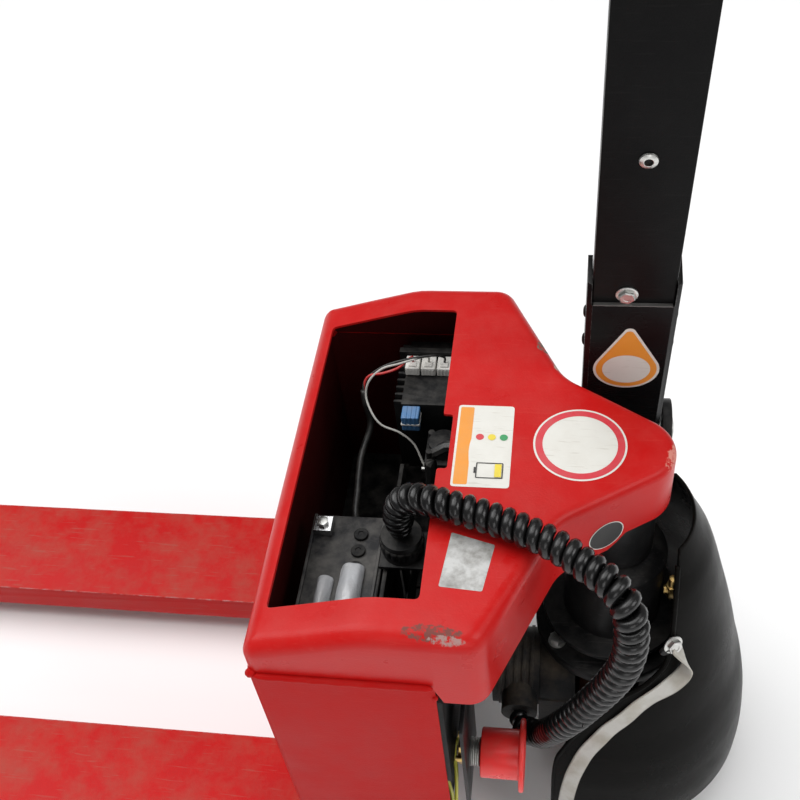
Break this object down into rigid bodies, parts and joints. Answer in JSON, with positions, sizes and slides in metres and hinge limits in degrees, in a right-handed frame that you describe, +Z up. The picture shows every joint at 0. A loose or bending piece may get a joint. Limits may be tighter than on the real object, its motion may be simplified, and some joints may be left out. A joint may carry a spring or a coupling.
{
  "type": "pallet truck",
  "caption": "Electric pallet truck with two forks, a battery body, a steered drive wheel under a lift column and a tiller.",
  "frame": {"origin": "centre of the truck's footprint, on the floor", "axes": "+X towards the operator's end, +Y to the side that the parked tiller is turned to, +Z up"},
  "size_m": [1.7199, 0.55, 1.2674],
  "materials": {
    "red_paint": "gloss enamel, worn at the edges",
    "black_paint": "satin black enamel",
    "dark_steel": "matt black paint on plate",
    "black_plastic": "fine grained",
    "gloss_black_plastic": "gloss, lightly scuffed",
    "white_plastic": "smooth",
    "blue_plastic": "smooth",
    "red_plastic": "smooth",
    "zinc_steel": "zinc plated",
    "ground_steel": "ground",
    "cast_metal": "as cast, painted grey",
    "brass": "turned",
    "tyre": "polyurethane",
    "roller": "polyurethane",
    "cord_black": "gloss polyurethane",
    "strap": "flat woven",
    "battery": "smooth"
  },
  "bodies": {
    "root": {"top_cover": "red_paint", "left_side_panel": "red_paint", "right_side_panel": "red_paint", "front_wall": "red_paint", "base_plate": "dark_steel", "bulkhead": "dark_steel", "left_fork": "red_paint", "right_fork": "red_paint", "nose_beam": "dark_steel", "guide_sleeve": "dark_steel", "lift_ram": "ground_steel", "battery_pack": "battery", "battery_clamp": "dark_steel", "controller": "black_plastic", "controller_plugs": "white_plastic", "contactor": "black_plastic", "pump_motor": "black_plastic", "oil_tank": "white_plastic", "oil_hose": "cord_black", "bay_wires": "cord_black", "isolator_plate": "dark_steel", "isolator_body": "brass", "cord_gland": "black_plastic", "curly_cord": "cord_black", "bulkhead_bolts": "zinc_steel"},
    "isolator_knob": {"isolator_knob": "red_plastic"},
    "rocker": {"rocker_shaft": "dark_steel"},
    "left_pull_rod": {"left_pull_rod": "zinc_steel"},
    "right_pull_rod": {"right_pull_rod": "zinc_steel"},
    "left_roller_arm": {"left_roller_arm": "dark_steel"},
    "right_roller_arm": {"right_roller_arm": "dark_steel"},
    "left_load_roller": {"left_load_roller": "roller"},
    "right_load_roller": {"right_load_roller": "roller"},
    "lift_carrier": {"lift_column": "black_paint", "oil_fitting": "brass"},
    "drive_unit": {"turntable_bearing": "ground_steel", "steering_flange": "dark_steel", "flange_bolts": "zinc_steel", "drive_yoke": "dark_steel", "gearbox": "cast_metal", "drive_motor": "black_paint", "motor_brake": "cast_metal", "wheel_guard": "gloss_black_plastic", "guard_strap": "strap", "tiller_bracket": "black_paint", "tiller_pin": "ground_steel", "return_spring": "ground_steel"},
    "drive_wheel": {"wheel_hub": "ground_steel", "drive_tyre": "tyre"},
    "tiller": {"tiller_channel": "black_paint", "tiller_tube": "black_paint", "tiller_screws": "zinc_steel", "head_housing": "black_plastic", "handles": "cord_black"},
    "throttle": {"throttle": "black_plastic"},
    "lift_button": {"lift_button": "white_plastic"},
    "lower_button": {"lower_button": "white_plastic"},
    "horn_button": {"horn_button": "blue_plastic"},
    "reverse_button": {"reverse_button": "red_plastic"},
    "key": {"key_lock": "ground_steel"}
  },
  "joints": [
    {"name": "lift", "type": "slide", "parent": "root", "child": "lift_carrier", "axis": [0, 0, -1], "range_m": [0, 0.11]},
    {"name": "steer", "type": "hinge", "parent": "lift_carrier", "child": "drive_unit", "pos_m": [0.671, 0, 0.3], "axis": [0, 0, 1], "range_deg": [-180, 0], "deforming": ["curly_cord"]},
    {"name": "drive_wheel_spin", "type": "hinge", "parent": "drive_unit", "child": "drive_wheel", "pos_m": [0.671, 0, 0.105], "axis": [1, 0, 0], "continuous": true},
    {"name": "tiller_tilt", "type": "hinge", "parent": "drive_unit", "child": "tiller", "pos_m": [0.671, 0.147, 0.5], "axis": [-1, 0, 0], "range_deg": [0, 80], "stiffness_Nm_per_rad": 40, "springref_deg": -34.38},
    {"name": "rocker_turn", "type": "hinge", "parent": "root", "child": "rocker", "pos_m": [0.381, 0, 0.062], "axis": [0, -1, 0], "range_deg": [0, 48.56]},
    {"name": "left_arm_turn", "type": "hinge", "parent": "root", "child": "left_roller_arm", "pos_m": [-0.57196, -0.1925, 0.062], "axis": [0, -1, 0], "range_deg": [0, 48.56]},
    {"name": "left_pull_rod_slide", "type": "slide", "parent": "root", "child": "left_pull_rod", "axis": [1, 0, 0], "range_m": [0, 0.02139]},
    {"name": "left_load_roller_spin", "type": "hinge", "parent": "left_roller_arm", "child": "left_load_roller", "pos_m": [-0.73, -0.1925, 0.037], "axis": [0, 1, 0], "continuous": true},
    {"name": "right_arm_turn", "type": "hinge", "parent": "root", "child": "right_roller_arm", "pos_m": [-0.57196, 0.1925, 0.062], "axis": [0, -1, 0], "range_deg": [0, 48.56]},
    {"name": "right_pull_rod_slide", "type": "slide", "parent": "root", "child": "right_pull_rod", "axis": [1, 0, 0], "range_m": [0, 0.02139]},
    {"name": "right_load_roller_spin", "type": "hinge", "parent": "right_roller_arm", "child": "right_load_roller", "pos_m": [-0.73, 0.1925, 0.037], "axis": [0, 1, 0], "continuous": true},
    {"name": "isolator_press", "type": "slide", "parent": "root", "child": "isolator_knob", "axis": [-1, 0, 0], "range_m": [0, 0.008]},
    {"name": "throttle_turn", "type": "hinge", "parent": "tiller", "child": "throttle", "pos_m": [0.671, 0.01324, 1.22208], "axis": [1, 0, 0], "range_deg": [-22, 22], "stiffness_Nm_per_rad": 0.4},
    {"name": "lift_button_press", "type": "slide", "parent": "tiller", "child": "lift_button", "axis": [0, 0.9885, 0.1513], "range_m": [0, 0.0025], "stiffness_N_per_m": 400, "springref_m": -0.001},
    {"name": "lower_button_press", "type": "slide", "parent": "tiller", "child": "lower_button", "axis": [0, 0.9885, 0.1513], "range_m": [0, 0.0025], "stiffness_N_per_m": 400, "springref_m": -0.001},
    {"name": "horn_button_press", "type": "slide", "parent": "tiller", "child": "horn_button", "axis": [0, 0.9885, 0.1513], "range_m": [0, 0.0025], "stiffness_N_per_m": 400, "springref_m": -0.001},
    {"name": "reverse_button_press", "type": "slide", "parent": "tiller", "child": "reverse_button", "axis": [0, 0.1513, -0.9885], "range_m": [0, 0.008], "stiffness_N_per_m": 300, "springref_m": -0.003},
    {"name": "key_turn", "type": "hinge", "parent": "tiller", "child": "key", "pos_m": [0.671, 0.01243, 1.16125], "axis": [0, 0.9885, 0.1513], "range_deg": [0, 90]}
  ],
  "couplings": [
    {"joint": "rocker_turn", "follows": "lift", "rad_per_m": 7.7031},
    {"joint": "left_arm_turn", "follows": "lift", "rad_per_m": 7.7031},
    {"joint": "left_pull_rod_slide", "follows": "lift", "ratio": 0.19434},
    {"joint": "right_arm_turn", "follows": "lift", "rad_per_m": 7.7031},
    {"joint": "right_pull_rod_slide", "follows": "lift", "ratio": 0.19434}
  ]
}
